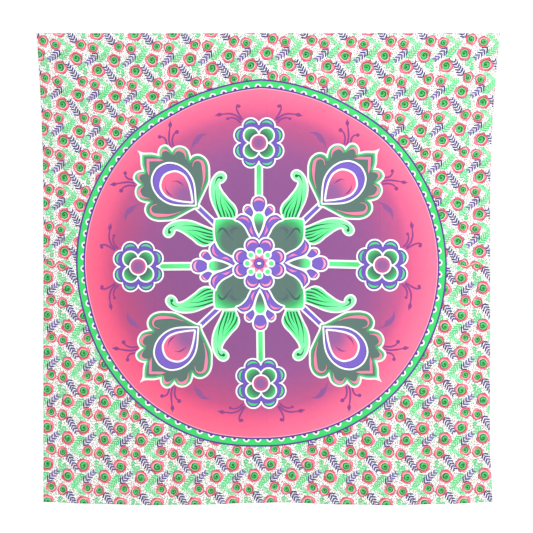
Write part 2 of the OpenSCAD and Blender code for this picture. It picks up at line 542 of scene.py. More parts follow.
def heart_leaf():
    """The broad dark leaf behind the rosette, mint along its outer edges."""
    half = smooth(
        (0, 9), (4.6, 10.2), (7.2, 13), (7.9, 16.8), (6.9, 20.8), (4.8, 24), (2.3, 26.6), (0, 28.3),
        steps=5,
    )
    outline = both_sides(half)
    inner = np.array([0, 15.5])

    def paint(p):
        return three(SLATE, MINT_DEEP, MINT, (distance(p, inner) - 5.8) / 6.2)

    shapes = [(grown(outline, OUTLINE_W), WHITE)]
    shapes += graded(outline, paint, inner, (0.92, 0.84, 0.76, 0.68, 0.4))
    swoosh = smooth(*quadrant((19.3, 13.4), (18.4, 15.1), (16.8, 15.5), (14.8, 13.2), (12.4, 10.4)))
    smudge = smooth(*quadrant((9.4, 15.4), (11.4, 16), (13.2, 14.6), (12.4, 12.8)))
    shapes.append((stroke(swoosh, 1, ends=(0.4, 0.15), peak=0.25), SLATE_DARK))
    shapes.append((stroke(smudge, 1.4, ends=(0.1, 0.1), peak=0.6), mix(SLATE, SLATE_DARK, [0.5])[0]))
    return shapes


def big_flower():
    """The large flower at the end of a diagonal arm."""
    petals = [
        smooth(
            (0, 38.3), (1.9, 39.6), (7.9, 41.6), (11.9, 43.1), (14.6, 45.4), (16.8, 47.7), (18.1, 50.2),
            (18.2, 52.6), (17.3, 54.6), (15.4, 55.8), (13.2, 55.8),
        ),
        smooth(
            (13.2, 55.8), (14.6, 57.8), (15.5, 60), (15.1, 62.3), (13.8, 63.9), (12, 64.6), (10.3, 64.3)
        ),
        smooth((10.3, 64.3), (10.6, 66.2), (10.5, 67.9), (9.6, 69), (8, 69.3), (6.4, 68.7), (5, 67.3)),
        smooth((5, 67.3), (4.3, 68.6), (3.2, 70.3), (1.7, 71.9), (0, 73.4)),
    ]
    outline = both_sides(np.concatenate([*[run[:-1] for run in petals[:-1]], petals[-1]]))
    spike = both_sides(smooth((0, 72.4), (1.9, 72.5), (0.8, 74.2), (0, 76.4), steps=3))
    shapes = [(grown(outline, OUTLINE_W), WHITE), (spike, WHITE)]
    shapes.append((outline, lambda p: mix(MINT_DEEP, MINT, (p[:, 1] - 56) / 34)))
    shapes.append((grown(outline, -0.75), mix(SLATE, MINT_DEEP, [0.35])[0]))
    shapes.append((grown(outline, -1.35), SLATE))
    arcs = [
        (1.45, (6.8, 42.6), (11, 45), (14.4, 48.2), (16.3, 51), (15.8, 53.2), (13.9, 54), (11.8, 52.9)),
        (1.35, (12.2, 57.2), (14, 59.9), (13.6, 62.4), (12.1, 63.3), (10, 62.9)),
        (1.2, (9.4, 65.2), (8.9, 67.4), (7.3, 68), (5.4, 66.6)),
    ]
    for width, *points in arcs:
        shapes += pair([(stroke(smooth(*points, steps=3), width, ends=(0.12, 0.12), peak=0.55), PINK)])
    tip = both_sides(np.array([(0, 69), (3.2, 65.8), (4.9, 64.6), (3.7, 66.9), (0, 70.7)]))
    shapes.append((tip, PINK))
    drop = smooth(
        (0, 40.1), (4.4, 44.8), (7, 48.4), (8.2, 52), (8.3, 55.6), (7.2, 59.3), (4.5, 62.5), (0, 63.9),
        steps=6, round_end=True,
    )
    shapes += rimmed(both_sides(drop), VIOLET, VIOLET_DARK, 0.35)
    right_of_orb = smooth(
        (0, 42.2), (2.9, 46), (5.1, 49.8), (5.9, 53.4), (4.4, 57.2), (0, 59.2),
        steps=6, round_end=True,
    )
    orb = both_sides(right_of_orb)
    shapes += [(grown(orb, 0.9), WHITE)]
    shapes += graded(orb, fade(PLUM, ORB_PINK, (0, 45), 2.5, 12.5), (0, 50.5))
    gleams = [
        smooth((-0.3, 55.3), (-2.1, 53.5), (-2.7, 50.9), (-2.6, 49.5)),
        smooth((2.7, 56.2), (4.05, 54.6), (4.6, 52.2), (4.2, 49.4)),
    ]
    shapes += [(stroke(path, 0.8, ends=(0.1, 0.1), peak=0.6), PLUM_DARK) for path in gleams]
    return shapes


def shadow_leaf():
    """The small faded leaf beside a large flower."""
    upper = quadrant((31, 51.8), (30.7, 54.5), (29.9, 57), (28.2, 59.2), (25.8, 60.2), (22.6, 60))
    lower = quadrant((22.6, 60), (25.3, 59.2), (26.7, 57.6), (27.8, 55.8), (29.6, 54.8), (31, 51.8))
    return [(joined(smooth(*upper), smooth(*lower)), mix(PLUM, PLUM_DARK, [0.45])[0])]


def diagonal_arm():
    """Everything along one of the four diagonal arms."""
    spray = tendrils(
        [
            (quadrant((39.2, 54.3), (39.6, 57.3), (38.9, 59.8), (37.5, 61)), 0.95),
            (quadrant((42, 54.6), (42.6, 57.3), (43.9, 58.6), (45.4, 58.7)), 0.85),
        ]
    )
    spray += bud(quadrant((40.3, 54.1), (41.1, 57), (41.1, 60), (40.8, 62.4), (40.6, 64.2), (40.55, 66.2)))
    stem = np.array([(-0.85, 27), (0.85, 27), (0.85, 39.2), (-0.85, 39.2)])
    shapes = pair(spray + shadow_leaf())
    shapes += outlined(stem, VIOLET)
    shapes += pair(curled_leaf())
    shapes += big_flower()
    return shapes


def rosette():
    """The flower at the medallion's centre."""
    petals = [(x * a, y * b) for a, b in ((3.15, 8.2), (8.4, 3.1)) for x in (-1, 1) for y in (-1, 1)]
    shapes = discs(petals, 3.2 + OUTLINE_W, WHITE, 26)
    for c in petals:
        foot = np.sign(c) * ((0.9, 4.2) if abs(c[1]) > abs(c[0]) else (4.2, 0.9))
        shapes += [(petal_outline(c, 3.2, foot), VIOLET_DARK), (petal_outline(c, 2.85, foot), VIOLET)]
        facing = math.degrees(math.atan2(c[1], c[0]))
        shapes += crescents(c, facing, (2.45, 95, 1.15, PINK_DEEP), (2.3, 80, 0.8, PINK_PALE))
    dots = [5.5 * np.array([math.cos(t), math.sin(t)]) for t in np.radians(45 * np.arange(8))]
    shapes += discs([(0, 0)], 4.9, WHITE, 24) + discs(dots, 1.85, WHITE, 18)
    star_turn = np.radians(22.5 * np.arange(16))
    star_radius = np.where(np.arange(16) % 2 == 1, 4.9, 2.9)
    shapes.append((polar(star_radius, star_turn), fade(PINK_DEEP, PINK_PALE, (0, 0), 2.2, 4.9)))
    shapes += discs(dots, 1.1, MINT, 14)
    for radius, colour, count in ((2.45, VIOLET_DARK, 20), (2.1, VIOLET, 20), (1.25, VIOLET_DARK, 16)):
        shapes += discs([(0, 0)], radius, colour, count)
    shapes.append((disc((0, 0), 0.85, 14) * (1.15, 0.75), WHITE))
    return shapes


def petal_outline(centre, radius, foot):
    """A round petal that narrows towards its foot."""
    centre = np.array(centre)
    facing = math.atan2(*(centre - foot)[::-1])
    arc = facing + np.radians(np.linspace(-115, 115, 20))
    rim = centre + polar(radius, arc)
    side = 0.8 * np.array([-math.sin(facing), math.cos(facing)])
    return np.concatenate([rim, [foot + side, foot - side]])


# How far the ring's outer line stands from its centre, every 15 degrees from the right over the top.
# It is pulled in where the cloth sags between the pins.
RING = [
    85.2, 84.6, 84.0, 83.5, 82.7, 83.3, 84.3, 82.9, 82.7, 83.7, 84.2, 84.6,
    84.8, 84.6, 85.3, 85.6, 85.6, 85.3, 84.4, 84.9, 85.6, 85.7, 85.8, 85.5,
]
SCALLOPS = 95
GROUND_STOPS = [
    # distance from the middle, ink
    (0, ink(135, 79, 141)),
    (44, ink(144, 86, 144)),
    (53.5, ink(158, 86, 145)),
    (61.5, ink(180, 87, 140)),
    (66.5, ink(196, 88, 141)),
    (69.5, ink(222, 96, 143)),
    (73, ink(242, 104, 146)),
    (80, ink(251, 121, 155)),
]


def medallion_ground(p):
    """Violet in the middle of the medallion and pink towards its ring, redder at the lower left."""
    p = p + (0.9, 0.5)
    radius = np.hypot(*p.T)
    stops = [stop for stop, _ in GROUND_STOPS]
    colour = np.stack([np.interp(radius, stops, [c[k] for _, c in GROUND_STOPS]) for k in range(3)], axis=1)
    redder = 0.20 * ease((-0.82 * p[:, 0] - 0.57 * p[:, 1] - 15) / 55)
    return colour * (1 - redder[:, None] * (0, 1, 0.9))


def circle(inset, count=240):
    """A line that stays at a distance inside the ring's outer line."""
    turn = 2 * np.pi * np.arange(count) / count
    radius = np.interp(turn, np.linspace(0, 2 * np.pi, len(RING) + 1), [*RING, RING[0]]) - inset
    return polar(radius, turn)


def ring():
    """The mint band with its scallops, and the ground inside it."""
    shapes = [(circle(-0.25), LINE), (circle(0.55), BAND)]
    for c in circle(3.4, SCALLOPS):
        outwards = c / np.hypot(*c)
        shapes.append((disc(c, 1.6, 14), WHITE))
        shapes.append((disc(c + outwards * 0.25, 0.75, 10), LINE))
    shapes += [(circle(3.2), LINE), (circle(3.95), PINK_PALE), (circle(4.3), medallion_ground)]
    shapes += [(circle(inset, 120), medallion_ground) for inset in (8, 12, 16, 20, 25)]
    return shapes


# ---------------- the medallion laid out on the cloth

RING_CENTRE = np.array([-0.0336, -1.0522])
FLOWER_CENTRE = np.array([-0.0415, -1.0530])
# Each motif's place on the cloth, which isn't quite straight as it hangs:
# (turn, mirror, shift across and up in cm, extra turn in degrees, size)
HEARTS = [(-45, (x, y), (0, -0.3 if y > 0 else -0.6)) for y in (1, -1) for x in (1, -1)]
DIAGONALS = [
    (-46.6, (1, 1), (-0.08, 0)),
    (-46.6, (-1, 1), (-0.3, -0.9)),
    (-46.6, (1, -1), (0.7, -2.2)),
    (-46.6, (-1, -1), (0.8, -2.4)),
]
AXES = [
    (0, (1, 1), (-0.17, -0.5), 0, 0.996),
    (-90, (1, 1), (-0.2, 0.3), -1.4, 1.014),
    (180, (1, 1), (0.15, 0), 0.7, 0.992),
    (90, (1, 1), (0, -1.25), 0.5, 0.992),
]
layers = []


def lean(outline, slack=0.025):
    """The outline without the points that hardly bend it."""
    kept = [outline[0]]
    for here, after in zip(outline[1:], [*outline[2:], outline[0]]):
        chord = after - kept[-1]
        step = here - kept[-1]
        if abs(chord[0] * step[1] - chord[1] * step[0]) > slack * np.hypot(*chord):
            kept.append(here)
    return np.array(kept) if len(kept) > 2 else outline


def place(shapes, centre=FLOWER_CENTRE, turn=0, mirror=(1, 1), shift=(0, 0), extra=0, size=1.0):
    """Adds a motif to the print: turned from upright, mirrored, turned again, scaled and shifted."""
    forward = size * rotation(extra) @ np.diag(mirror) @ rotation(turn)
    back = np.linalg.inv(forward)
    middle = centre + np.array(shift) * CM
    for outline, paint in shapes:
        placed = counter_clockwise(lean(outline) @ forward.T) * CM + middle
        layers.append((placed, paint, back, middle))


def rotation(degrees):
    """The matrix of a turn to the left."""
    c, s = math.cos(math.radians(degrees)), math.sin(math.radians(degrees))
    return np.array([[c, -s], [s, c]])


place(ring(), RING_CENTRE)
arm, heart, axis = diagonal_arm(), heart_leaf(), axis_arm()
for placing in DIAGONALS:
    place(arm, FLOWER_CENTRE, *placing)
for placing in HEARTS:
    place(heart, FLOWER_CENTRE, *placing)
for placing in AXES:
    place(axis, FLOWER_CENTRE, *placing)
place(rosette(), shift=(0, -0.27))

# ---------------- the cloth's mesh

GRID = 15 * MM
FINE_ROWS = np.array([3, 6, 9, 11, 12, 13, 14, 16, 20]) * MM
ROW_GAP = 6 * MM


def stations(length, fine):
    """Distances along one direction of the cloth, close together near the stitched edges."""
    count = int(round((length - 2 * fine[-1]) / GRID))
    coarse = np.linspace(fine[-1], length - fine[-1], count + 1)[1:-1]
    return np.concatenate([[0], fine, coarse, length - fine[::-1], [length]])


EDGE_FINE = np.array([5, 10.3, 13]) * MM
us = stations(CLOTH_W, EDGE_FINE) - HALF_W
vs = np.concatenate([[0], FINE_ROWS, stations(CLOTH_H, EDGE_FINE)[len(EDGE_FINE) + 1 :]])
# An even row close below the fine ones is left out.
vs = vs[(vs <= FINE_ROWS[-1] + 1e-9) | (vs > FINE_ROWS[-1] + ROW_GAP)]

border = [(u, 0.0) for u in us[::-1]] + [(-HALF_W, v) for v in vs[1:]]
border += [(u, CLOTH_H) for u in us[1:]] + [(HALF_W, v) for v in vs[-2:0:-1]]
inside = [(u, v) for v in vs[1:-1] for u in us[1:-1]]
flat_points = np.array(border + inside)
hung_points = hang(flat_points[:, 0], flat_points[:, 1], 0)[:, [0, 2]]

# Grid points that lie almost on a printed line would make slivers, so they are left out.
design_points = np.concatenate([outline for outline, *_ in layers])
cell = 2.2 * MM
around = [(a, b) for a in (-1, 0, 1) for b in (-1, 0, 1)]
taken = {(i + a, j + b) for i, j in np.floor(design_points / cell).astype(int) for a, b in around}
keep = [
    k < len(border) or (int(math.floor(x / cell)), int(math.floor(z / cell))) not in taken
    for k, (x, z) in enumerate(hung_points)
]
hung_points = hung_points[keep]

plane_points = list(hung_points)
plane_edges = [(k, (k + 1) % len(border)) for k in range(len(border))]
for outline, *_ in layers:
    first = len(plane_points)
    plane_points += list(outline)
    plane_edges += [(first + k, first + (k + 1) % len(outline)) for k in range(len(outline))]
WHOLE_HULL = 0
MERGE_DISTANCE = 1e-5
plane, _, triangles, sources, *_ = delaunay_2d_cdt(
    [tuple(p) for p in plane_points], plane_edges, [], WHOLE_HULL, MERGE_DISTANCE
)
plane = np.array([tuple(p) for p in plane])
triangles = np.array(triangles)
centres = plane[triangles].mean(axis=1)
within = winding(hung_points[: len(border)], centres) != 0
triangles, centres = triangles[within], centres[within]

owner = np.full(len(triangles), -1)
for index, (outline, *_) in enumerate(layers):
    low, high = outline.min(axis=0), outline.max(axis=0)
    near = np.nonzero(((centres >= low) & (centres <= high)).all(axis=1))[0]
    owner[near[winding(outline, centres[near]) > 0]] = index

corner_colours = np.zeros((len(triangles), 3, 4))
for index in np.unique(owner[owner >= 0]):
    outline, paint, back, centre = layers[index]
    faces = owner == index
    local = ((plane[triangles[faces]].reshape(-1, 2) - centre) / CM) @ back.T
    colour = paint(local) if callable(paint) else np.tile(paint, (len(local), 1))
    corner_colours[faces, :, :3] = colour.reshape(-1, 3, 3)
    corner_colours[faces, :, 3] = 1

# The border's rows dip between the pins near the top edge, because the cloth is gathered there.
DIP_AT = np.array([-1067, -889, -716, -540, -360, -182, 0, 177, 357, 538, 722, 904, 1067]) * MM
DIP = np.array([2, 25, 34, 33, 28, 10, -4, 3, 11, 8, 7, -2, -1]) * MM
DIP_REACH = 0.55
# The border's repeat in centimetres, the print's centre on the flat cloth, and its stretch to the right
TILE_W = 18.0
TILE_H = 17.2
CENTRE_U = -0.036
CENTRE_V = 1.064
SPREAD = 0.00019


def border_place(u, v):
    """Where a cloth point lies in the border print, in centimetres from the print's centre."""
    dip = np.interp(u, DIP_AT, DIP) * np.exp(-v / DIP_REACH)
    x = u / CM
    across = x - SPREAD * x**2 - CENTRE_U / CM
    return np.stack([across, (CENTRE_V - v + dip) / CM, np.zeros_like(x)], axis=1)


def mesh_object(name, points, faces, materials, face_materials=None, smooth_shading=True):
    """A Blender object from arrays of points and triangles or quads."""
    mesh = bpy.data.meshes.new(name)
    mesh.from_pydata([tuple(p) for p in points], [], [tuple(int(i) for i in f) for f in faces])
    for material in materials:
        mesh.materials.append(material)
    if face_materials is not None:
        mesh.polygons.foreach_set("material_index", np.asarray(face_materials, np.int32))
    mesh.polygons.foreach_set("use_smooth", [smooth_shading] * len(mesh.polygons))
    mesh.update()
    obj = bpy.data.objects.new(name, mesh)
    bpy.context.scene.collection.objects.link(obj)
    return obj


def store(obj, name, kind, domain, values):
    """Stores a vector or colour attribute on a mesh."""
    attribute = obj.data.attributes.new(name, kind, domain)
    field = "color" if "COLOR" in kind else "vector"
    attribute.data.foreach_set(field, np.asarray(values, np.float32).ravel())


# ---------------- materials


def operator(operation):
    """A method that puts a Math node behind a value."""
    return lambda value, *others: value.node(operation, *others)


class Value:
    """A number in a shader, which arithmetic turns into Math nodes."""

    def __init__(self, tree, socket):
        self.tree = tree
        self.socket = socket

    def node(self, operation, *others):
        """The result of a Math node, whose further inputs are values or plain numbers."""
        node = self.tree.nodes.new("ShaderNodeMath")
        node.operation = operation
        for slot, value in zip(node.inputs, (self, *others)):
            if isinstance(value, Value):
                self.tree.links.new(value.socket, slot)
            else:
                slot.default_value = float(value)
        return Value(self.tree, node.outputs[0])

    __add__ = operator("ADD")
    __sub__ = operator("SUBTRACT")
    __mul__ = operator("MULTIPLY")
    __truediv__ = operator("DIVIDE")
    __lt__ = operator("LESS_THAN")
    __gt__ = operator("GREATER_THAN")
    size = operator("ABSOLUTE")
    sine = operator("SINE")

    def wrap(self, period):
        """This value brought within half a period of zero."""
        return self.node("WRAP", period / 2, -period / 2)

    def squared(self):
        """This value times itself."""
        return self * self

    def chosen(self, other, share):
        """This value where share is 0, and the other where it is 1."""
        return self + (other - self) * share


def constant(tree, number):
    """A number that stays the same all over."""
    node = tree.nodes.new("ShaderNodeValue")
    node.outputs[0].default_value = number
    return Value(tree, node.outputs[0])


def radius_of(x, y):
    """How far a point lies from zero."""
    return (x.squared() + y.squared()).node("SQRT")


def turned(x, y, turn, size=1.0):
    """A point in axes that are turned left by an angle, in units of size."""
    c, s = math.cos(turn) / size, math.sin(turn) / size
    return x * c + y * s, y * c - x * s


def parts(tree, vector):
    """The first two numbers of a vector."""
    split = tree.nodes.new("ShaderNodeSeparateXYZ")
    tree.links.new(vector, split.inputs[0])
    return Value(tree, split.outputs[0]), Value(tree, split.outputs[1])


def cloud(tree, vector, scale, detail=3.0, roughness=0.5):
    """A soft uneven value from 0 to 1."""
    noise = tree.nodes.new("ShaderNodeTexNoise")
    noise.inputs["Scale"].default_value = scale
    noise.inputs["Detail"].default_value = detail
    noise.inputs["Roughness"].default_value = roughness
    tree.links.new(vector, noise.inputs["Vector"])
    return Value(tree, noise.outputs["Fac"])


def bump(tree, height, distance, strength=1.0):
    """A bump node that makes relief from a height."""
    node = tree.nodes.new("ShaderNodeBump")
    node.inputs["Strength"].default_value = strength
    node.inputs["Distance"].default_value = distance
    tree.links.new(height.socket, node.inputs["Height"])
    return node


class Ground:
    """A colour in a shader, which inks are laid on."""

    def __init__(self, tree, colour):
        self.tree = tree
        node = tree.nodes.new("ShaderNodeRGB")
        node.outputs[0].default_value = (*colour, 1)
        self.socket = node.outputs[0]

    def lay(self, colour, where, blend="MIX"):
        """Lays an ink, or the colour of a socket, where a value or number is 1."""
        node = self.tree.nodes.new("ShaderNodeMix")
        node.data_type = "RGBA"
        node.blend_type = blend
        if isinstance(where, Value):
            self.tree.links.new(where.socket, node.inputs["Factor"])
        else:
            node.inputs["Factor"].default_value = where
        a, b = [s for s in node.inputs if s.type == "RGBA"]
        self.tree.links.new(self.socket, a)
        if isinstance(colour, bpy.types.NodeSocket):
            self.tree.links.new(colour, b)
        else:
            b.default_value = (*colour, 1)
        self.socket = [s for s in node.outputs if s.type == "RGBA"][0]


# Where a rose lies from the print's centre, and each rose of a repeat: place, radius and turn
ROSE_COLUMN = 2.92
ROSE_ROW = 11.0
ROSES = [(0.0, 0.0, 3.05, 0.3), (-7.75, -5.1, 3.1, 1.1), (2.75, 6.3, 2.55, 2.4), (8.5, 5.4, 2.5, 4.0)]
FERNS = [
    # base, tip, pairs of leaflets, their length, lean and width, bend, ink at base and tip
    ((-8.7, 8.8), (-3.0, 4.6), 6, 1.5, 0.8, 0.33, 0.02, ink(124, 224, 160), ink(140, 232, 172)),
    ((-8.0, -1.6), (-1.6, 5.2), 7, 2.6, 0.9, 0.33, -0.03, ink(60, 200, 112), ink(112, 228, 150)),
    ((0.6, -5.6), (4.8, -1.2), 4, 1.9, 0.9, 0.34, 0.05, ink(96, 212, 138), ink(124, 222, 158)),
    ((3.9, -8.0), (4.2, -4.2), 3, 1.35, 0.7, 0.34, 0.02, ink(84, 204, 126), ink(108, 214, 144)),
    ((10.9, 3.3), (5.2, -2.5), 5, 2.7, 1.0, 0.33, 0.02, ink(56, 44, 112), ink(124, 100, 176)),
    ((0.5, -10.4), (-4.2, -3.0), 6, 2.5, 0.8, 0.31, 0.0, ink(58, 46, 118), ink(84, 68, 144)),
]
WASHES = [
    # centre, half length and width, turn, ink
    (-4.8, 1.9, 5.2, 1.9, 0.82, ink(206, 248, 218)),
    (-5.8, 6.7, 3.4, 1.5, -0.6, ink(208, 248, 220)),
    (3.2, -3.0, 3.0, 1.7, 0.85, ink(196, 242, 210)),
    (4.1, -6.2, 1.8, 1.1, 1.5, ink(204, 244, 214)),
    (-6.3, 7.7, 0.9, 0.8, 0.0, ink(80, 216, 124)),
]
# How many specks there are across a centimetre, their size and ink
SPECKS = [(1.05, 0.19, ink(44, 60, 56)), (0.85, 0.17, ink(212, 80, 116)), (0.75, 0.16, ink(84, 196, 120))]


def fern(x, y, base, tip, pairs, leaf, lean, width, bend):
    """Where leaflets stand in pairs along a stem in the border, and how far along it they are."""
    run = math.hypot(tip[0] - base[0], tip[1] - base[1])
    ux, uy = (tip[0] - base[0]) / run, (tip[1] - base[1]) / run
    dx = (x - (base[0] + tip[0]) / 2).wrap(TILE_W)
    dy = (y - (base[1] + tip[1]) / 2).wrap(TILE_H)
    along = dx * ux + dy * uy
    across = dy * ux - dx * uy + along.squared() * bend
    away = across.size()
    root = along - away * lean + run / 2
    pitch = run / pairs
    step = root.node("FLOORED_MODULO", pitch) - pitch / 2
    share = root / run
    half = (share * -0.5 + 1.0) * (leaf / 2) / math.hypot(1, lean)
    reach = (away - half - 0.08) / half
    leaflet = (step / (width * pitch)).squared() + reach.squared().squared() < 1
    inside = ((root - run / 2).size() < run / 2) * (away < leaf)
    stem = (away < 0.09) * (along.size() < run / 2)
    return (leaflet * inside).node("MAXIMUM", stem), share


def border_print(tree, place_vector):
    """The small roses and ferns of the border, which turns upside down below the print's centre."""
    x, y = parts(tree, place_vector)
    x = x * ((y > 0) * 2 - 1) - ROSE_COLUMN
    y = y.size() - ROSE_ROW
    ground = Ground(tree, WHITE)

    for cx, cy, long_half, wide_half, turn, wash_ink in WASHES:
        along, across = turned((x - cx).wrap(TILE_W), (y - cy).wrap(TILE_H), turn)
        edge = (along / long_half).squared() + (across / wide_half).squared()
        ground.lay(wash_ink, edge + cloud(tree, place_vector, 1.1) * 1.6 < 1.45)

    for scale, size, dot_ink in SPECKS:
        speck = tree.nodes.new("ShaderNodeTexVoronoi")
        speck.voronoi_dimensions = "2D"
        speck.inputs["Scale"].default_value = scale
        tree.links.new(place_vector, speck.inputs["Vector"])
        ground.lay(dot_ink, Value(tree, speck.outputs["Distance"]) < size)

    for *shape, base_ink, tip_ink in FERNS:
        where, share = fern(x, y, *shape)
        ramp = Ground(tree, base_ink)
        ramp.lay(tip_ink, share)
        ground.lay(ramp.socket, where)

    nearest = None
    for cx, cy, radius, turn in ROSES:
        qx, qy = turned((x - cx).wrap(TILE_W), (y - cy).wrap(TILE_H), turn, radius)
        r = radius_of(qx, qy)
        if nearest is None:
            nearest = (qx, qy, r)
        else:
            closer = r < nearest[2]
            nearest = tuple(old.chosen(new, closer) for old, new in zip(nearest, (qx, qy, r)))
    qx, qy, r = nearest
    rough = cloud(tree, place_vector, 0.55)
    angle = qy.node("ARCTAN2", qx)
    wavy = (angle * 5 + 1.0).sine() * 0.045 + (angle * 3).sine() * 0.045 + rough * 0.2 + 0.9
    shade = r / wavy
    # Dark line on one side, petals with their folds, then the green heart with its spiral
    ground.lay(ink(60, 84, 74), (shade < 1.08) * (shade > 0.9) * ((angle + 2.6).sine() > 0.3))
    ground.lay(ink(250, 108, 138), shade < 1.0)
    ground.lay(ink(238, 76, 108), (shade < 0.99) * (shade > 0.84) * ((angle * 3 + rough * 4).sine() > 0.2))
    ground.lay(ink(255, 156, 176), (shade < 0.84) * (shade > 0.72) * ((angle * 2 + rough * 6).sine() > 0.1))
    core = radius_of(qx - 0.05, qy + 0.02) + rough * 0.24 - 0.12
    side = (angle + 0.6).sine()
    ground.lay(ink(58, 74, 66), (core < 0.76) * (core > 0.66) * (side > 0.1))
    ground.lay(ink(255, 214, 208), (core < 0.70) * (core > 0.60) * (side < -0.35))
    ground.lay(ink(74, 204, 108), core < 0.60)
    ground.lay(ink(40, 118, 70), (core < 0.58) * ((angle + core * 14 + rough * 5).sine() > 0.2))
    ground.lay(ink(30, 88, 56), core < 0.12)
    return ground.socket


CREASES = [
    # middle, direction in degrees, half length, all in the border print's place on the cloth
    ((3.6, 0.0), 90, 120.0),
    ((-50.0, 0.0), 90, 120.0),
    ((57.0, 0.0), 90, 120.0),
    ((0.0, -1.4), 0, 120.0),
    ((0.0, -54.0), 0, 120.0),
    ((-73.0, -19.5), -45, 5.0),
    ((-29.0, -8.5), -60, 4.5),
    ((-34.0, 12.0), -52, 6.0),
    ((-62.0, 22.0), -38, 7.0),
]


def crease_bump(tree, x, y):
    """Thin sharp creases, left by folding the cloth for packing."""
    height = constant(tree, 0.0)
    for (cx, cy), direction, half_length in CREASES:
        along, across = turned(x - cx, y - cy, math.radians(direction))
        fold = constant(tree, 1.0) / ((across / 0.45).squared() + 1.0)
        height = height + fold * (along.size() < half_length)
    return bump(tree, height, 1.1 * MM)


WEAVE_PITCH = 0.05


def weave_bump(tree, place_vector):
    """Relief of a plain weave with uneven yarns, in the cloth's own coordinates, on top of its creases."""
    x, y = parts(tree, place_vector)
    yarns = 2 * math.pi / WEAVE_PITCH
    slubs = cloud(tree, place_vector, 2.4, detail=4.0)
    height = (x * yarns).sine() * (y * yarns).sine() * 0.25 + slubs * 1.4
    node = bump(tree, height, 0.3 * MM, strength=0.25)
    tree.links.new(crease_bump(tree, x, y).outputs[0], node.inputs["Normal"])
    return node


def new_material(name, settings):
    """A new material, its node tree and its shader, with the shader's plain settings."""
    material = bpy.data.materials.new(name)
    material.use_nodes = True
    shader = material.node_tree.nodes["Principled BSDF"]
    for socket, number in settings.items():
        shader.inputs[socket].default_value = number
    return material, material.node_tree, shader


def stored(tree, name):
    """A node that reads an attribute of the mesh."""
    node = tree.nodes.new("ShaderNodeAttribute")
    node.attribute_name = name
    return node


COTTON = {"Roughness": 0.88, "Specular IOR Level": 0.2, "Sheen Weight": 0.12, "Sheen Roughness": 0.6}
POLYESTER = {"Roughness": 0.6, "Sheen Weight": 0.2}


def cotton(name, print_share, medallion=True):
    """Printed plain-weave cotton. print_share is how strongly the print shows on this side."""
    material, tree, shader = new_material(name, COTTON)
    vector = stored(tree, "border_place").outputs["Vector"]
    cloth = Ground(tree, WHITE)
    strength = constant(tree, print_share)
    cloth.lay(border_print(tree, vector), strength)
    if medallion:
        printed = stored(tree, "medallion")
        paper = Ground(tree, WHITE)
        paper.lay(printed.outputs["Color"], strength)
        cloth.lay(paper.socket, Value(tree, printed.outputs["Alpha"]) > 0.5)
    tone = cloud(tree, vector, 0.35, detail=6.0, roughness=0.7) * 0.14 + 0.93
    cloth.lay(tone.socket, 1.0, "MULTIPLY")
    tree.links.new(cloth.socket, shader.inputs["Base Color"])
    tree.links.new(weave_bump(tree, vector).outputs[0], shader.inputs["Normal"])
    return material


def sewing_thread(name):
    """Two-ply white thread."""
    material, tree, shader = new_material(name, POLYESTER)
    along, around = parts(tree, stored(tree, "thread_place").outputs["Vector"])
    ply = (along * 9 + around * 6).sine()
    ground = Ground(tree, ink(246, 247, 244))
    ground.lay(ink(214, 216, 214), ply > 0.75)
    tree.links.new(ground.socket, shader.inputs["Base Color"])
    tree.links.new(bump(tree, ply, 0.1 * MM).outputs[0], shader.inputs["Normal"])
    return material


front_cotton = cotton("printed_cotton_front", 1.0)
back_cotton = cotton("printed_cotton_back", 0.42)
hem_cotton = cotton("hem_cotton", 1.0, medallion=False)
thread = sewing_thread("sewing_thread")

# ---------------- the printed cloth

flat_u, flat_v = unhang(plane[:, 0], plane[:, 1])
front = hang(flat_u, flat_v, FRONT_Y)
front[:, [0, 2]] = plane
behind = front + (0, LAYER, 0)
count = len(plane)
placed_as = {source: k for k, merged in enumerate(sources) for source in merged}
rim = np.array([placed_as[k] for k in range(len(border))])
next_rim = np.roll(rim, -1)
rim_faces = np.concatenate(
    [
        np.stack([rim, rim + count, next_rim + count], axis=1),
        np.stack([rim, next_rim + count, next_rim], axis=1),
    ]
)
cloth_points = np.concatenate([front, behind])
cloth_faces = np.concatenate([triangles, triangles[:, ::-1] + count, rim_faces])
cloth_sides = np.concatenate([np.zeros(len(triangles)), np.ones(len(triangles)), np.zeros(len(rim_faces))])
cloth = mesh_object("tapestry_cloth", cloth_points, cloth_faces, [front_cotton, back_cotton], cloth_sides)
places = border_place(flat_u, flat_v)
store(cloth, "border_place", "FLOAT_VECTOR", "POINT", np.concatenate([places, places]))
rim_colours = np.zeros((len(rim_faces), 3, 4))
colours = np.concatenate([corner_colours, corner_colours[:, ::-1], rim_colours])
store(cloth, "medallion", "FLOAT_COLOR", "CORNER", colours)

# ---------------- hems


SEAM_IN = 10.3 * MM
HEM_STEP = 4.5 * MM
HEM_GAP = 0.05 * MM
# Depth and spacing of the puckers that the seam leaves
PUCKERS = [(0.10 * MM, 9 * MM), (0.06 * MM, 23 * MM)]


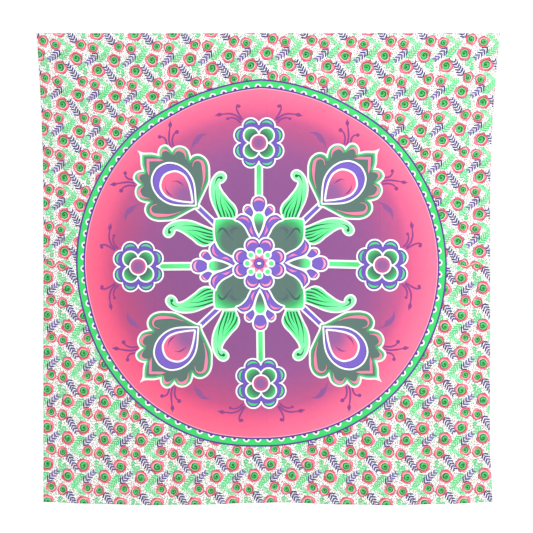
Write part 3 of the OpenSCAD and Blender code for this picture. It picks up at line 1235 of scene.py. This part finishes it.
def hem_outline():
    """A double turned hem's outline, dented where the seam pulls it in, as (distance from the edge, y)."""
    front_back = FRONT_Y + LAYER
    middle = front_back + HEM_GAP
    middle_back = middle + LAYER
    fold = LAYER + HEM_GAP
    return [
        (0.0, front_back), (-0.10 * MM, -0.55 * MM), (-0.06 * MM, -0.2 * MM), (0.2 * MM, -0.03 * MM),
        (1.2 * MM, 0.0), (HEM_W / 2, 0.0),
        (SEAM_IN - 0.8 * MM, 0.0), (SEAM_IN, -0.12 * MM), (SEAM_IN + 0.8 * MM, 0.0),
        (HEM_W - 0.15 * MM, -0.04 * MM), (HEM_W, -0.2 * MM),
        (HEM_W, middle + 0.1 * MM), (HEM_W - 0.15 * MM, middle), (HEM_W / 2, middle), (fold, middle),
        (fold, middle_back), (HEM_W / 2, middle_back), (HEM_W - LAYER, middle_back),
        (HEM_W - LAYER, -LAYER), (HEM_W / 2, -LAYER), (LAYER, -LAYER), (LAYER, front_back),
    ]


def tube_faces(first, rings, sides):
    """Faces of a closed tube, whose rings of points follow one another from the first point on."""
    faces = []
    for i in range(rings - 1):
        for j in range(sides):
            a, b = first + i * sides + j, first + i * sides + (j + 1) % sides
            faces.append((a, b, b + sides, a + sides))
    faces.append(tuple(first + j for j in range(sides))[::-1])
    faces.append(tuple(first + (rings - 1) * sides + j for j in range(sides)))
    return faces


def hung_piece(name, points, faces, material, attribute, marks):
    """A closed piece behind or on the hanging cloth, with its faces turned outwards."""
    obj = mesh_object(name, hang(*np.array(points).T), faces, [material])
    store(obj, attribute, "FLOAT_VECTOR", "POINT", marks)
    mesh = bmesh.new()
    mesh.from_mesh(obj.data)
    bmesh.ops.recalc_face_normals(mesh, faces=mesh.faces)
    mesh.to_mesh(obj.data)
    mesh.free()
    return obj


def hem(name, along_points, inward):
    """A hem behind the cloth, swept along an edge. inward turns a distance from the edge into (u, v)."""
    outline = hem_outline()
    points, places = [], []
    for s in along_points:
        pucker = sum(depth * math.sin(2 * math.pi * s / spacing) for depth, spacing in PUCKERS)
        for distance_in, y in outline:
            u, v = inward(s, distance_in)
            squeeze = min(0.0, pucker) if distance_in > 1 * MM and y > -LAYER else 0.0
            points.append((u, v, y + squeeze))
            places.append(inward(s, 2 * HEM_W - distance_in))
    faces = tube_faces(0, len(along_points), len(outline))
    marks = border_place(*np.array(places).T)
    return hung_piece(name, points, faces, hem_cotton, "border_place", marks)


def evenly(start, end, step):
    """Stations from start to end, about a step apart."""
    return np.linspace(start, end, max(2, int(round((end - start) / step)) + 1))


side_run = evenly(PANEL_TOP, CLOTH_H - HEM_W, HEM_STEP)
cross_run = evenly(-HALF_W, HALF_W, HEM_STEP)
edges = {
    "top": (cross_run, lambda s, d: (s, d), "top_band"),
    "left": (side_run, lambda s, d: (d - HALF_W, s), "hanging_cloth"),
    "right": (side_run, lambda s, d: (HALF_W - d, s), "hanging_cloth"),
    "bottom": (cross_run, lambda s, d: (s, CLOTH_H - d), "hanging_cloth"),
}
hems = {side: hem(f"{side}_turned_hem", run, inward) for side, (run, inward, _) in edges.items()}

# ---------------- seams

STITCH = 3.0 * MM
STITCH_SHARE = 0.92
THREAD_HALF_W = 0.3 * MM
THREAD_LIFT = 0.09 * MM
BOBBIN_Y = -0.2 * MM
# How far along a stitch its sections lie, and how full they are
STITCH_SHAPE = [(-0.5, 0.10), (-0.38, 0.75), (0.0, 1.0), (0.38, 0.75), (0.5, 0.10)]
SIDES = 6


def seam(name, start, end, inward, y, outward):
    """A row of stitches, each a short swollen length of thread along the seam."""
    stitches = int(round((end - start) / STITCH))
    pitch = (end - start) / stitches
    points, faces, marks = [], [], []
    for k in range(stitches):
        middle = start + (k + 0.5) * pitch
        first = len(points)
        for along, swell in STITCH_SHAPE:
            for j in range(SIDES):
                turn = 2 * math.pi * j / SIDES
                aside = THREAD_HALF_W * swell * math.cos(turn)
                u, v = inward(middle + along * STITCH_SHARE * pitch, SEAM_IN + aside)
                lift = outward * (THREAD_LIFT * swell * (1 + math.sin(turn)))
                points.append((u, v, y + lift))
                marks.append((along * 3, j / SIDES, 0))
        faces += tube_faces(first, len(STITCH_SHAPE), SIDES)
    return hung_piece(name, points, faces, thread, "thread_place", marks)


seams = {}
for side, (run, inward, _) in edges.items():
    inset = 1 * MM if side in ("top", "bottom") else 0
    start, end = run[0] + inset, run[-1] - inset
    seams[side, "needle"] = seam(f"{side}_needle_stitches", start, end, inward, FRONT_Y, -1)
    seams[side, "bobbin"] = seam(f"{side}_bobbin_stitches", start, end, inward, BOBBIN_Y, 1)

# ---------------- what each piece stands for and moves with

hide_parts("printed_panel")
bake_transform(cloth)
for side, (_, _, body) in edges.items():
    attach(hems[side], body)
    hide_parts(f"{side}_hem")
    for kind in ("needle", "bobbin"):
        row = seams[side, kind]
        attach(row, body)
        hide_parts(f"{side}_{kind}_thread")

# ---------------- floor, light and camera

scene = bpy.context.scene
low, high = CAD_BOX
middle_z = (low[2] + high[2]) / 2
FLOOR_Z = low[2] - 0.17
FLOOR_REACH = 40.0


def stage_floor():
    """A plain pale floor under the hanging."""
    corners = [(-1, -1), (1, -1), (1, 1), (-1, 1)]
    points = [(x * FLOOR_REACH, y * FLOOR_REACH, FLOOR_Z) for x, y in corners]
    material, *_ = new_material("pale_floor", {"Base Color": (1, 1, 1, 1), "Roughness": 0.9})
    floor = mesh_object("floor", points, [(0, 1, 2, 3)], [material], smooth_shading=False)


def area_light(name, spot, target, size, power):
    """A soft square light at a spot, aimed at a target."""
    light = bpy.data.lights.new(name, "AREA")
    light.size = size
    light.energy = power
    obj = bpy.data.objects.new(name, light)
    scene.collection.objects.link(obj)
    obj.location = spot
    obj.rotation_euler = (Vector(target) - Vector(spot)).to_track_quat("-Z", "Y").to_euler()


stage_floor()
world = bpy.data.worlds.new("studio")
world.use_nodes = True
backdrop = world.node_tree.nodes["Background"]
backdrop.inputs["Color"].default_value = (1, 1, 1, 1)
backdrop.inputs["Strength"].default_value = 1.0
scene.world = world
area_light("key", (2.7, -3.2, 1.0), (0, 0, middle_z), 1.0, 75)
area_light("overhead", (0, 0, 3.0), (0, 0, -3), 4.0, 70)

camera_data = bpy.data.cameras.new("camera")
camera_data.lens = 85
camera_data.sensor_width = 36
camera = bpy.data.objects.new("camera", camera_data)
scene.collection.objects.link(camera)
camera.location = (-0.008, -5.80, -1.070)
camera.rotation_euler = (math.pi / 2, 0, 0)
scene.camera = camera
scene.view_settings.view_transform = "Standard"
